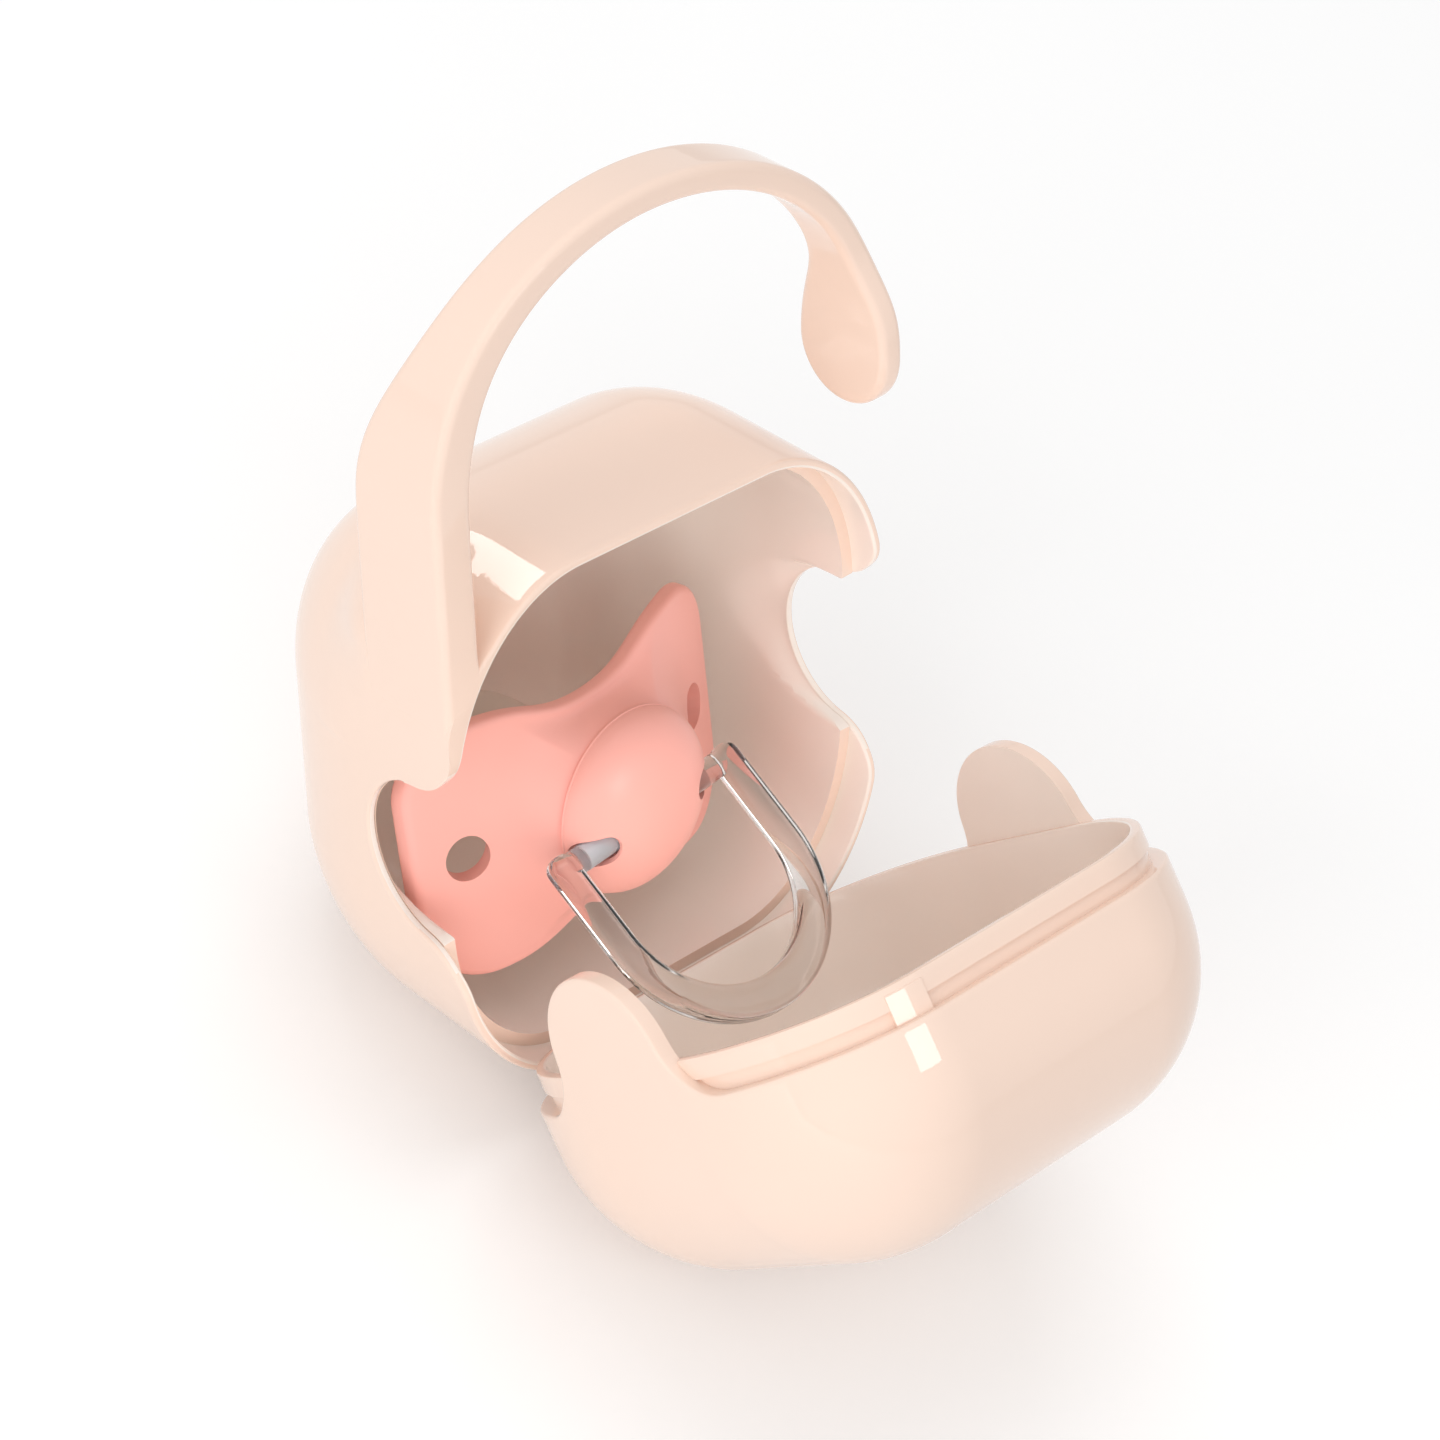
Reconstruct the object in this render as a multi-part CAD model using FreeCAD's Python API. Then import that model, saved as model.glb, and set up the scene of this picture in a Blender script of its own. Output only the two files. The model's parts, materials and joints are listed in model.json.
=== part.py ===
import FreeCAD, Part
import math
import os

# A snap-together pacifier case with a hook handle, standing open with a pacifier in it.
# Lengths are in millimetres and angles in degrees.
# Case frame: the parting plane is y = 0, the rear shell lies behind it at +y and the front
# shell before it, x runs across the case, z runs up and is 0 at mid height.
# The pieces are modelled closed in that frame, then the front shell is swung open and the
# whole case is leaned back until both shells stand on the table.

Vec = FreeCAD.Vector
X_AXIS = Vec(1, 0, 0)
Y_AXIS = Vec(0, 1, 0)
Z_AXIS = Vec(0, 0, 1)
ORIGIN = Vec(0, 0, 0)

# Case shells
case_width = 58.0
case_height = 61.5
rear_depth = 38.0
front_depth = 23.5
wall = 2.4
corner_width = 17.0
corner_height = 22.0
rear_rounding = 23.0
front_rounding = 18.8
back_flat = 0.04
overrun = 5.0

# Rim of the rear shell, and the snap lip of the front shell that goes inside it
seam_gap = 0.2
rim_wall = 1.0
lip_clearance = 0.25
lip_height = 3.6
lip_root = 1.2
groove_height = 1.6
groove_depth = 0.4
lip_round = 0.3
latch_width = 4.4
latch_height = 2.9
latch_clearance = 0.3

# Round ears on the ends of the front shell, and their notches in the rear shell
ear_depth = 13.6
ear_tip_radius = 9.0
ear_foot_radius = 6.7
ear_foot_sink = 0.05
ear_thickness = 1.8
ear_clearance = 0.25
ear_round = 0.35

# Hook handle, a ribbon that runs up from the left end wall, over the top and down to a paddle
hook_rise = 35.0
hook_arch_height = 25.5
hook_thickness = 2.9
hook_root_thickness = 4.4
hook_round = 0.9
hook_root_front = 0.2
hook_root_back = 12.8
hook_mid = 4.7
hook_taper_start = 6.0
hook_neck_width = 6.4
hook_neck_height = 14.0
paddle_width = 12.4
paddle_forward = 0.4
paddle_leg = 9.3

# Pacifier shield, a bow-tie plate bent round the mouth
shield_width = 45.6
shield_end_height = 29.4
shield_waist_height = 22.4
shield_corner_radius = 7.4
shield_bend_radius = 50.0
shield_thickness = 2.2
shield_round = 0.7
vent_spread = 17.4
vent_width = 5.6
vent_height = 5.2

# Pacifier hub, knob and plug
hub_height = 3.2
hub_sink = 4.2
hub_foot = 5.0
hub_flare = 1.0
knob_width = 20.8
knob_height = 20.0
knob_rise = 5.2
knob_stem_radius = 1.6
knob_stem_length = 4.2
seat_radius = 7.6
seat_floor = 0.4
fit_gap = 0.1
plug_flange = 1.2
plug_radius = 3.0
plug_length = 9.0

# Teat
teat_flange = 1.2
teat_neck_radius = 4.6
teat_neck_length = 8.0
teat_bulb_radius = 5.5
teat_length = 23.0
teat_wall = 1.4

# Pacifier ring and its pivot in the knob
ring_half_width = 14.2
ring_reach = 24.4
ring_arm_width = 3.1
ring_foot_width = 4.0
ring_thickness = 3.2
ring_round = 1.2
ring_end_round = 1.4
ring_pin_radius = 1.4
ring_pin_length = 6.5
pivot_height = 2.2
pivot_drop = 1.2
pivot_clearance = 0.25
channel_length = 4.4

# Where things stand in the photographed pose
open_angle = 53.5
pacifier_side_room = 1.9
pacifier_back_room = 4.0
pacifier_rise = 7.65
pacifier_tilt = 6.4
pacifier_yaw = 7.5
ring_drop_angle = 44.0
mesh_tolerance = 0.05

half_width = case_width / 2
half_height = case_height / 2
hinge_y = -seam_gap / 2
hinge_z = -half_height
hook_taper_z = half_height + hook_taper_start
yaw_share = math.cos(math.radians(pacifier_yaw))
teat_reach = teat_length * yaw_share * math.cos(math.radians(pacifier_tilt))
pacifier_x = wall - half_width + shield_width / 2 * yaw_share + pacifier_side_room
pacifier_y = rear_depth - wall - teat_reach - pacifier_back_room
pacifier_z = wall - half_height + shield_end_height / 2 + pacifier_rise


def rounded_half(inset, depth, rounding, run_out):
    """A closed half of the rounded cube, from its open side at -run_out back to its depth."""
    kx = (corner_width - inset) / (rounding - inset)
    kz = (corner_height - inset) / (rounding - inset)
    width = (case_width - 2 * inset) / kx
    height = (case_height - 2 * inset) / kz
    length = depth - inset + run_out
    block = Part.makeBox(width, length, height, Vec(-width / 2, -run_out, -height / 2))
    back = depth - inset
    rounded = [e for e in block.Edges if touches_back(e, back)]
    ball_cornered = block.makeFillet(rounding - inset, rounded)
    stretch = FreeCAD.Matrix()
    stretch.scale(kx, 1, kz)
    return ball_cornered.transformGeometry(stretch)


def touches_back(edge, back):
    return any(abs(v.Point.y - back) < mesh_tolerance for v in edge.Vertexes)


def outline_prism(inset, y_from, y_to):
    """A straight prism of the case outline, drawn in by inset."""
    rx = corner_width - inset
    rz = corner_height - inset
    cx = half_width - corner_width
    cz = half_height - corner_height
    edges = []
    for turn in range(4):
        start = math.radians(90 * turn)
        mid = start + math.radians(45)
        end = start + math.radians(90)
        sx = math.copysign(cx, math.cos(mid))
        sz = math.copysign(cz, math.sin(mid))
        points = [Vec(sx + rx * math.cos(a), y_from, sz + rz * math.sin(a)) for a in (start, end)]
        edges.append((points, corner_arc(sx, sz, rx, rz, y_from, start, end)))
    loop = []
    for index, (points, arc) in enumerate(edges):
        following = edges[(index + 1) % len(edges)][0]
        loop.append(arc)
        loop.append(Part.makeLine(points[1], following[0]))
    face = Part.Face(Part.Wire(loop))
    return face.extrude(Vec(0, y_to - y_from, 0))


def corner_arc(cx, cz, rx, rz, y, start, end):
    """A quarter of an ellipse in a plane of constant y, as one smooth edge."""
    major = Vec(cx, y, cz + rz)
    minor = Vec(cx + rx, y, cz)
    ellipse = Part.Ellipse(major, minor, Vec(cx, y, cz))
    first = ellipse.parameter(Vec(cx + rx * math.cos(start), y, cz + rz * math.sin(start)))
    last = ellipse.parameter(Vec(cx + rx * math.cos(end), y, cz + rz * math.sin(end)))
    return shorter_arc(ellipse, first, last)


def shorter_arc(ellipse, first, last):
    """The edge of at most half a turn between two parameters of a closed curve."""
    span = (last - first) % (2 * math.pi)
    if span > math.pi:
        first, last = last, first
        span = 2 * math.pi - span
    return ellipse.toShape(first, first + span)


def bell_prism(grow, y_base):
    """The round-tipped ear outline, grown all round, run through the whole width of the case."""
    tip = ear_tip_radius + grow
    foot = ear_foot_radius - grow
    tip_y = ear_depth - ear_tip_radius
    foot_y = ear_foot_radius - ear_foot_sink
    foot_z = math.sqrt((tip + foot) ** 2 - (tip_y - foot_y) ** 2)
    share = tip / (tip + foot)
    joint_y = tip_y + (foot_y - tip_y) * share
    joint_z = foot_z * share
    lean = math.acos((foot_y + grow) / foot) if foot_y + grow < foot else 0.0
    end_z = foot_z - foot * math.sin(lean)
    end_y = foot_y - foot * math.cos(lean)
    toward = Vec(0, (joint_y + end_y) / 2 - foot_y, (joint_z + end_z) / 2 - foot_z).normalize()
    waist = Vec(0, foot_y, foot_z) + toward * foot
    x = half_width + overrun
    left = [Vec(-x, p.y, p.z) for p in (Vec(0, end_y, end_z), waist, Vec(0, joint_y, joint_z))]
    right = [Vec(-x, p.y, -p.z) for p in left]
    top = Vec(-x, tip_y + tip, 0)
    edges = [
        Part.Arc(left[0], left[1], left[2]).toShape(),
        Part.Arc(left[2], top, right[2]).toShape(),
        Part.Arc(right[2], right[1], right[0]).toShape(),
        Part.makeLine(right[0], Vec(-x, y_base, right[0].z)),
        Part.makeLine(Vec(-x, y_base, right[0].z), Vec(-x, y_base, left[0].z)),
        Part.makeLine(Vec(-x, y_base, left[0].z), left[0]),
    ]
    return Part.Face(Part.Wire(edges)).extrude(Vec(2 * x, 0, 0))


def s_curve(y0, z0, y1, z1):
    """A smooth edge in the plane x = 0 that leaves and arrives upright."""
    curve = Part.BezierCurve()
    middle = (z0 + z1) / 2
    curve.setPoles([Vec(0, y0, z0), Vec(0, y0, middle), Vec(0, y1, middle), Vec(0, y1, z1)])
    return curve.toShape()


def line(y0, z0, y1, z1):
    return Part.makeLine(Vec(0, y0, z0), Vec(0, y1, z1))


def half_arch(reach, height, centre_z):
    """The upper half of an ellipse about the middle of the case, as an edge in the plane y = 0."""
    ellipse = Part.Ellipse(Vec(reach, 0, centre_z), Vec(0, 0, centre_z + height), Vec(0, 0, centre_z))
    return ellipse.toShape(0, math.pi)


def hook_arch(thickness, centre_z, foot_z):
    """The hook seen from the front: an arch on two legs, whose legs have the given thickness."""
    inner = half_width - thickness
    band = [
        Part.makeLine(Vec(-half_width, 0, 0), Vec(-half_width, 0, centre_z)),
        half_arch(half_width, hook_arch_height, centre_z),
        Part.makeLine(Vec(half_width, 0, centre_z), Vec(half_width, 0, foot_z)),
        Part.makeLine(Vec(half_width, 0, foot_z), Vec(inner, 0, foot_z)),
        Part.makeLine(Vec(inner, 0, foot_z), Vec(inner, 0, centre_z)),
        half_arch(inner, hook_arch_height - hook_thickness, centre_z),
        Part.makeLine(Vec(-inner, 0, centre_z), Vec(-inner, 0, 0)),
        Part.makeLine(Vec(-inner, 0, 0), Vec(-half_width, 0, 0)),
    ]
    arch = Part.Face(Part.Wire(Part.__sortEdges__(band))).extrude(Vec(0, rear_depth, 0))
    arch.translate(Vec(0, hook_mid - rear_depth / 2, 0))
    return arch


def hook_ribbon():
    """The handle: a strap that thins from its root to the top, and a blade of even thickness."""
    top_z = half_height + hook_rise
    centre_z = top_z - hook_arch_height
    foot_z = centre_z - paddle_leg
    neck_front = hook_mid - hook_neck_width / 2
    neck_back = hook_mid + hook_neck_width / 2
    over_z = top_z + overrun
    under_z = top_z - hook_thickness
    strap = [
        line(hook_root_front, 0, hook_root_front, hook_taper_z),
        s_curve(hook_root_front, hook_taper_z, neck_front, under_z),
        line(neck_front, under_z, neck_front, over_z),
        line(neck_front, over_z, neck_back, over_z),
        line(neck_back, over_z, neck_back, under_z),
        s_curve(hook_root_back, hook_taper_z, neck_back, under_z),
        line(hook_root_back, hook_taper_z, hook_root_back, 0),
        line(hook_root_back, 0, hook_root_front, 0),
    ]
    left = Part.Face(Part.Wire(strap)).extrude(Vec(-half_width - overrun, 0, 0))

    paddle = paddle_width / 2
    paddle_mid = hook_mid - paddle_forward
    paddle_z = foot_z + paddle
    neck_z = top_z - hook_neck_height
    tip = Part.Arc(Vec(0, paddle_mid + paddle, paddle_z), Vec(0, paddle_mid, foot_z),
                   Vec(0, paddle_mid - paddle, paddle_z)).toShape()
    blade = [
        tip,
        s_curve(paddle_mid - paddle, paddle_z, neck_front, neck_z),
        line(neck_front, neck_z, neck_front, over_z),
        line(neck_front, over_z, neck_back, over_z),
        line(neck_back, over_z, neck_back, neck_z),
        s_curve(paddle_mid + paddle, paddle_z, neck_back, neck_z),
    ]
    right = Part.Face(Part.Wire(Part.__sortEdges__(blade))).extrude(Vec(half_width + overrun, 0, 0))
    strap_half = hook_arch(hook_root_thickness, centre_z, foot_z).common(left)
    blade_half = hook_arch(hook_thickness, centre_z, foot_z).common(right)
    ribbon = strap_half.fuse(blade_half).removeSplitter()
    return ribbon.makeFillet(hook_round, [e for e in ribbon.Edges if above_root(e)])


def above_root(edge):
    """True for the hook's edges that do not lie in the flat end buried in the case wall."""
    return max(v.Point.z for v in edge.Vertexes) > mesh_tolerance and edge.Length > hook_thickness


def rear_shell():
    """The rear half with the hook, rabbeted inside its rim and notched for the ears."""
    shell = rounded_half(0, rear_depth, rear_rounding, 0)
    plane = Part.makeBox(case_width, rear_depth - back_flat, case_height, Vec(-half_width, 0, -half_height))
    shell = shell.common(plane).fuse(hook_ribbon())
    shell = shell.cut(rounded_half(wall, rear_depth, rear_rounding, overrun))
    shell = shell.cut(outline_prism(rim_wall, -overrun, lip_height + lip_clearance))
    shell = shell.cut(bell_prism(ear_clearance, -overrun))
    recess_width = latch_width + 2 * latch_clearance
    recess = Part.makeBox(recess_width, latch_height + latch_clearance + overrun, wall,
                          Vec(-recess_width / 2, -overrun, half_height - wall - rim_wall / 2))
    return shell.cut(recess)


def snap_lip():
    """The lip ring: a bead at its edge with a groove below, drawn inside the rear rim."""
    outer = rim_wall + lip_clearance
    base = -seam_gap
    lip = outline_prism(outer, base - lip_root, lip_height)
    lip = lip.cut(outline_prism(wall, base - lip_root - overrun, lip_height + overrun))
    lip = lip.makeFillet(lip_round, [e for e in lip.Edges if on_lip_top(e)])
    groove = outline_prism(0, base, base + groove_height)
    groove = groove.cut(outline_prism(outer + groove_depth, base - overrun, base + groove_height + overrun))
    return lip.cut(groove)


def on_lip_top(edge):
    return all(abs(v.Point.y - lip_height) < mesh_tolerance for v in edge.Vertexes)


def ears():
    """The two round ears, cut from the end walls that they continue."""
    base = -seam_gap - lip_root
    band = outline_prism(0, base, ear_depth + overrun)
    band = band.cut(outline_prism(ear_thickness, base - overrun, ear_depth + 2 * overrun))
    pair = band.common(bell_prism(0, base))
    return [ear.makeFillet(ear_round, [e for e in ear.Edges if on_ear_outline(e)]) for ear in pair.Solids]


def on_ear_outline(edge):
    """True for the edges that follow an ear's round outline and not the ones through its thickness."""
    return min(v.Point.y for v in edge.Vertexes) > -seam_gap and edge.Length > 2 * ear_thickness


def front_shell():
    """The front half: a bowl with the snap lip, the latch block and the ears."""
    bowl = rounded_half(0, front_depth, front_rounding, 0)
    bowl = bowl.cut(rounded_half(wall, front_depth, front_rounding, overrun))
    bowl = bowl.mirror(ORIGIN, Y_AXIS)
    bowl.translate(Vec(0, -seam_gap, 0))
    sunk = rim_wall + lip_clearance + groove_depth
    block = Part.makeBox(latch_width, latch_height + seam_gap, sunk - rim_wall / 2 - latch_clearance,
                         Vec(-latch_width / 2, -seam_gap, half_height - sunk))
    return bowl.fuse([snap_lip(), block] + ears()).removeSplitter()


def ellipse_wire(width, height, y):
    """An ellipse about the pacifier's axis in a plane of constant y."""
    wide = Vec(width / 2, y, 0)
    tall = Vec(0, y, height / 2)
    first, second = (wide, tall) if width >= height else (tall, wide)
    return Part.Wire(Part.Ellipse(first, second, Vec(0, y, 0)).toShape())


def tube(radius, y_from, y_to):
    """A cylinder on the pacifier's axis."""
    return Part.makeCylinder(radius, y_to - y_from, Vec(0, y_from, 0), Y_AXIS)


def pacifier_shield():
    """The bent plate with its vents, the flared hub and the stepped seat for the teat and plug."""
    prism = Part.Face(Part.Wire(bow_tie())).extrude(Vec(0, shield_bend_radius, 0))
    prism.translate(Vec(0, -overrun, 0))
    height = shield_end_height + 2 * overrun
    bend_base = Vec(0, shield_bend_radius, -height / 2)
    outer = Part.makeCylinder(shield_bend_radius, height, bend_base, Z_AXIS)
    inner = Part.makeCylinder(shield_bend_radius - shield_thickness, height, bend_base, Z_AXIS)
    plate = prism.common(outer.cut(inner))
    plate = plate.makeFillet(shield_round, [e for e in plate.Edges if follows_plate(e)])
    foot = ellipse_wire(knob_width + 2 * hub_foot, knob_height + 2 * hub_foot, hub_sink)
    flare = ellipse_wire(knob_width + 2 * hub_flare, knob_height + 2 * hub_flare, 0)
    crown = ellipse_wire(knob_width, knob_height, -hub_height)
    hub = Part.makeLoft([foot, flare, crown], True, False)
    body = plate.fuse(hub.cut(inner))
    for side in (-1, 1):
        vent = Part.Face(ellipse_wire(vent_width, vent_height, -overrun))
        vent = vent.extrude(Vec(0, shield_bend_radius, 0))
        vent.translate(Vec(side * vent_spread, 0, 0))
        body = body.cut(vent)
    body = body.cut(tube(seat_radius, -hub_height - overrun, -seat_floor))
    return body.cut(tube(teat_neck_radius + fit_gap, -overrun, shield_thickness + overrun))


def follows_plate(edge):
    """True for the edges of the plate that run along its outline and not through its thickness."""
    depths = [v.Point.y for v in edge.Vertexes]
    level = max(depths) - min(depths) < shield_thickness / 2
    return level or edge.Length > 2 * shield_thickness


def bow_tie():
    """Edges of the shield outline: straight ends, round corners, and a waist above and below."""
    end = shield_width / 2
    top = shield_end_height / 2
    waist = shield_waist_height / 2
    r = shield_corner_radius
    half = math.sqrt(r * r / 2)
    reach = end - r
    edges = []
    for sx in (1, -1):
        edges.append(Part.makeLine(Vec(sx * end, 0, r - top), Vec(sx * end, 0, top - r)))
        for sz in (1, -1):
            edges.append(Part.Arc(Vec(sx * end, 0, sz * (top - r)),
                                  Vec(sx * (reach + half), 0, sz * (top - r + half)),
                                  Vec(sx * reach, 0, sz * top)).toShape())
            curve = Part.BezierCurve()
            curve.setPoles([Vec(sx * reach, 0, sz * top), Vec(sx * reach / 2, 0, sz * top),
                            Vec(sx * reach / 2, 0, sz * waist), Vec(0, 0, sz * waist)])
            edges.append(curve.toShape())
    return Part.__sortEdges__(edges)


def pivot_channels():
    """The cuts in both ends of the knob: a socket for the end of each pin and an open channel to it."""
    radius = ring_pin_radius + pivot_clearance
    pivot_y = -hub_height - pivot_height
    socket = ring_half_width - ring_arm_width - ring_pin_length - pivot_clearance
    channel = knob_width / 2 - channel_length + radius
    front_y = -hub_height - knob_rise - overrun
    cuts = []
    length = pivot_y - front_y
    for side in (-1, 1):
        socket_end = Vec(side * socket, pivot_y, -pivot_drop)
        channel_end = Vec(side * channel, front_y, -pivot_drop)
        cuts.append(Part.makeCylinder(radius, knob_width, socket_end, X_AXIS * side))
        cuts.append(Part.makeCylinder(radius, length, channel_end, Y_AXIS))
        trough = Part.makeBox(knob_width, length, 2 * radius, Vec(channel, front_y, -pivot_drop - radius))
        cuts.append(trough if side > 0 else trough.mirror(ORIGIN, X_AXIS))
    return cuts


def pacifier_knob():
    """The domed oval button, channelled at both ends for the ring's pins, and its stem."""
    wide = knob_width / 2
    arc = Part.Ellipse(Vec(wide, 0, 0), Vec(0, -knob_rise, 0), ORIGIN).toShape(0, math.pi / 2)
    half = [arc, Part.makeLine(Vec(0, -knob_rise, 0), ORIGIN), Part.makeLine(ORIGIN, Vec(wide, 0, 0))]
    dome = Part.Face(Part.Wire(Part.__sortEdges__(half))).revolve(ORIGIN, Y_AXIS, 360)
    stretch = FreeCAD.Matrix()
    stretch.scale(1, 1, knob_height / knob_width)
    dome = dome.transformGeometry(stretch)
    dome.translate(Vec(0, -hub_height, 0))
    stem = tube(knob_stem_radius, -hub_height - knob_rise / 2, -hub_height + knob_stem_length)
    return dome.cut(pivot_channels()).fuse(stem)


def pacifier_plug():
    """The flanged plug that traps the teat in the shield."""
    front = -hub_height + fit_gap
    flange = tube(seat_radius - fit_gap, front, front + plug_flange)
    stem = tube(plug_radius, front, front + plug_length)
    return flange.fuse(stem).cut(tube(knob_stem_radius + fit_gap, front - overrun,
                                      -hub_height + knob_stem_length + fit_gap))


def teat_profile(shrink):
    """Half outline of the teat from its mouth to its tip, as edges in the plane z = 0."""
    neck = teat_neck_radius - shrink
    bulb = teat_bulb_radius - shrink
    front = -seat_floor
    bulb_y = teat_length - teat_bulb_radius
    curve = Part.BezierCurve()
    middle = (teat_neck_length + bulb_y) / 2
    curve.setPoles([Vec(neck, teat_neck_length, 0), Vec(neck, middle, 0),
                    Vec(bulb, middle, 0), Vec(bulb, bulb_y, 0)])
    half = math.sqrt(0.5) * bulb
    cap = Part.Arc(Vec(bulb, bulb_y, 0), Vec(half, bulb_y + half, 0), Vec(0, bulb_y + bulb, 0)).toShape()
    return front, neck, curve.toShape(), cap


def teat_solid(shrink):
    """The teat's outer form, or its hollow when drawn in by the wall."""
    front, neck, flare, cap = teat_profile(shrink)
    tip_y = teat_length - shrink
    edges = [
        Part.makeLine(Vec(neck, front, 0), Vec(neck, teat_neck_length, 0)),
        flare,
        cap,
        Part.makeLine(Vec(0, tip_y, 0), Vec(0, front, 0)),
        Part.makeLine(Vec(0, front, 0), Vec(neck, front, 0)),
    ]
    return Part.Face(Part.Wire(edges)).revolve(ORIGIN, Y_AXIS, 360)


def pacifier_teat():
    """The hollow teat with its flange in the shield's seat."""
    flange = tube(seat_radius - fit_gap, -seat_floor - fit_gap - teat_flange, -seat_floor - fit_gap)
    neck = tube(teat_neck_radius, -seat_floor - 2 * fit_gap, 0)
    body = teat_solid(0).fuse([flange, neck])
    hollow = teat_solid(teat_wall).fuse(tube(plug_radius + fit_gap, -hub_height - overrun, plug_length))
    return body.cut(hollow)


def ring_outline(half, far_y, end_y):
    """A face with straight sides and a round far end, in the plane of the ring's lower side."""
    z = -pivot_drop - ring_thickness / 2
    return Part.Face(Part.Wire([
        Part.makeLine(Vec(-half, end_y, z), Vec(-half, far_y, z)),
        Part.Arc(Vec(-half, far_y, z), Vec(0, far_y - half, z), Vec(half, far_y, z)).toShape(),
        Part.makeLine(Vec(half, far_y, z), Vec(half, end_y, z)),
        Part.makeLine(Vec(half, end_y, z), Vec(-half, end_y, z)),
    ]))


def pacifier_ring():
    """The U-shaped ring, lying straight out along -y, with a pin into each end of the knob."""
    pivot_y = -hub_height - pivot_height
    end_y = pivot_y + ring_thickness / 2
    inner_half = ring_half_width - ring_arm_width
    outer_far = pivot_y - ring_reach + ring_half_width
    inner_far = outer_far + ring_foot_width - ring_arm_width
    outside = ring_outline(ring_half_width, outer_far, end_y)
    inside = ring_outline(inner_half, inner_far, end_y + overrun)
    band = outside.cut(inside).extrude(Vec(0, 0, ring_thickness))
    band = band.makeFillet(ring_end_round, [e for e in band.Edges if at_arm_end(e, end_y)])
    band = band.makeFillet(ring_round, [e for e in band.Edges if not spans_ring(e)])
    arm_x = ring_half_width - ring_arm_width / 2
    pin_length = ring_pin_length + ring_arm_width / 2
    pins = []
    for side in (-1, 1):
        start = Vec(side * arm_x, pivot_y, -pivot_drop)
        pins.append(Part.makeCylinder(ring_pin_radius, pin_length, start, X_AXIS * -side))
    return band.fuse(pins).removeSplitter()


def spans_ring(edge):
    """True for edges that run through the ring's thickness."""
    heights = [v.Point.z for v in edge.Vertexes]
    return max(heights) - min(heights) > mesh_tolerance


def at_arm_end(edge, end_y):
    """True for the upright edges at the two ends of the ring."""
    return spans_ring(edge) and all(abs(v.Point.y - end_y) < mesh_tolerance for v in edge.Vertexes)


def turned(shape, angle, centre, axis):
    """A copy of a shape turned about a line."""
    copy = shape.copy()
    copy.rotate(centre, axis, angle)
    return copy


def ellipse_drop(down, centre_y, centre_z, ry, rz):
    """How far a rounded edge of the section reaches in the direction down."""
    return down.y * centre_y + down.z * centre_z + math.hypot(ry * down.y, rz * down.z)


def lean_back_angle():
    """The lean at which the rear shell and the opened front shell stand on one table."""
    edge_z = -half_height + corner_height
    hinge = Vec(0, hinge_y, hinge_z)
    low = 0.0
    high = open_angle
    for _ in range(60):
        lean = (low + high) / 2
        down = Vec(0, math.sin(math.radians(lean)), -math.cos(math.radians(lean)))
        rear = ellipse_drop(down, rear_depth - rear_rounding, edge_z, rear_rounding, corner_height)
        swung = FreeCAD.Rotation(X_AXIS, -open_angle).multVec(down)
        front = ellipse_drop(swung, front_rounding - front_depth - seam_gap - hinge.y, edge_z - hinge.z,
                             front_rounding, corner_height)
        front += down.dot(hinge)
        if front > rear:
            low = lean
        else:
            high = lean
    return (low + high) / 2


def in_case(shape):
    """A pacifier piece moved from its own frame to where it lies in the rear shell."""
    tipped = turned(shape, -pacifier_tilt, ORIGIN, X_AXIS)
    tipped = turned(tipped, pacifier_yaw, ORIGIN, Z_AXIS)
    tipped.translate(Vec(pacifier_x, pacifier_y, pacifier_z))
    return tipped


def build():
    hinge = Vec(0, hinge_y, hinge_z)
    pivot = Vec(0, -hub_height - pivot_height, -pivot_drop)
    pieces = {
        "rear_shell": rear_shell(),
        "front_shell": turned(front_shell(), open_angle, hinge, X_AXIS),
        "pacifier_shield": in_case(pacifier_shield()),
        "pacifier_knob": in_case(pacifier_knob()),
        "pacifier_plug": in_case(pacifier_plug()),
        "pacifier_teat": in_case(pacifier_teat()),
        "pacifier_ring": in_case(turned(pacifier_ring(), ring_drop_angle, pivot, X_AXIS)),
    }
    lean = lean_back_angle()
    pieces = {name: turned(shape, -lean, hinge, X_AXIS) for name, shape in pieces.items()}
    corners = []
    for shape in pieces.values():
        corners.extend(shape.tessellate(mesh_tolerance)[0])
    shift = Vec(0, -(min(p.y for p in corners) + max(p.y for p in corners)) / 2, -min(p.z for p in corners))
    os.makedirs("parts", exist_ok=True)
    for name, shape in pieces.items():
        shape.translate(shift)
        shape.exportStep("parts/" + name + ".step")
        print(name, "solids", len(shape.Solids), "valid", shape.isValid(), "volume", round(shape.Volume, 1))
    print("lean", round(lean, 3), "shift", shift)
    print("hinge", turned(Part.Vertex(hinge), -lean, hinge, X_AXIS).Point + shift)
    pivot_at = turned(in_case(Part.Vertex(pivot)), -lean, hinge, X_AXIS).Point + shift
    along = turned(in_case(Part.Vertex(pivot + X_AXIS)), -lean, hinge, X_AXIS).Point + shift
    print("ring pivot", pivot_at, "axis", along - pivot_at)


build()
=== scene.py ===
import json
import math

import bmesh
import bpy
import numpy as np
from mathutils import Matrix, Vector

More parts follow.
